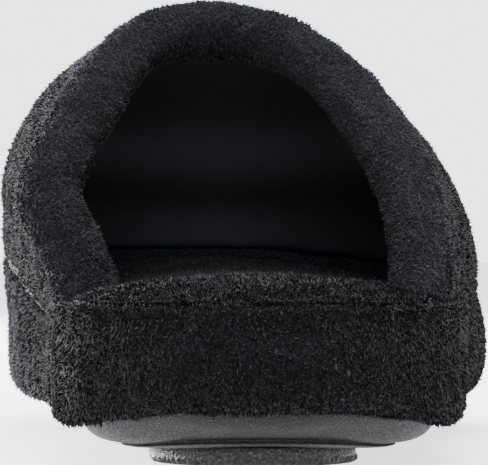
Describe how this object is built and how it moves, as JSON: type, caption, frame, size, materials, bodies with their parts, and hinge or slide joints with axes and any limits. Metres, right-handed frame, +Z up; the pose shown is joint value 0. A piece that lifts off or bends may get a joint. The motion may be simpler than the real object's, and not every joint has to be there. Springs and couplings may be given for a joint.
{
  "type": "clog slipper",
  "caption": "Plush backless clog slipper for the right foot: rolled-collar upper, crowned insole, covered platform midsole and ribbed outsole.",
  "frame": {"origin": "on the floor, under the middle of the slipper's bounding box", "axes": "+Z up, +Y from the heel to the toe, +X towards the outer side of the right foot"},
  "size_m": [0.104, 0.262, 0.0885],
  "materials": {
    "plush_upper": "short curly black plush pile",
    "plush_insole": "short curly black plush pile, worn smoother",
    "plush_wrap": "short curly black plush pile over foam",
    "sole_rubber": "dark grey, fine leather grain, semi-matte",
    "tread_rubber": "dark grey, matte, pebbled and grooved"
  },
  "bodies": {
    "root": {"upper": "plush_upper", "insole": "plush_insole", "midsole": "plush_wrap", "outsole": "sole_rubber", "heel_tread": "tread_rubber", "ball_tread": "tread_rubber"}
  },
  "joints": []
}
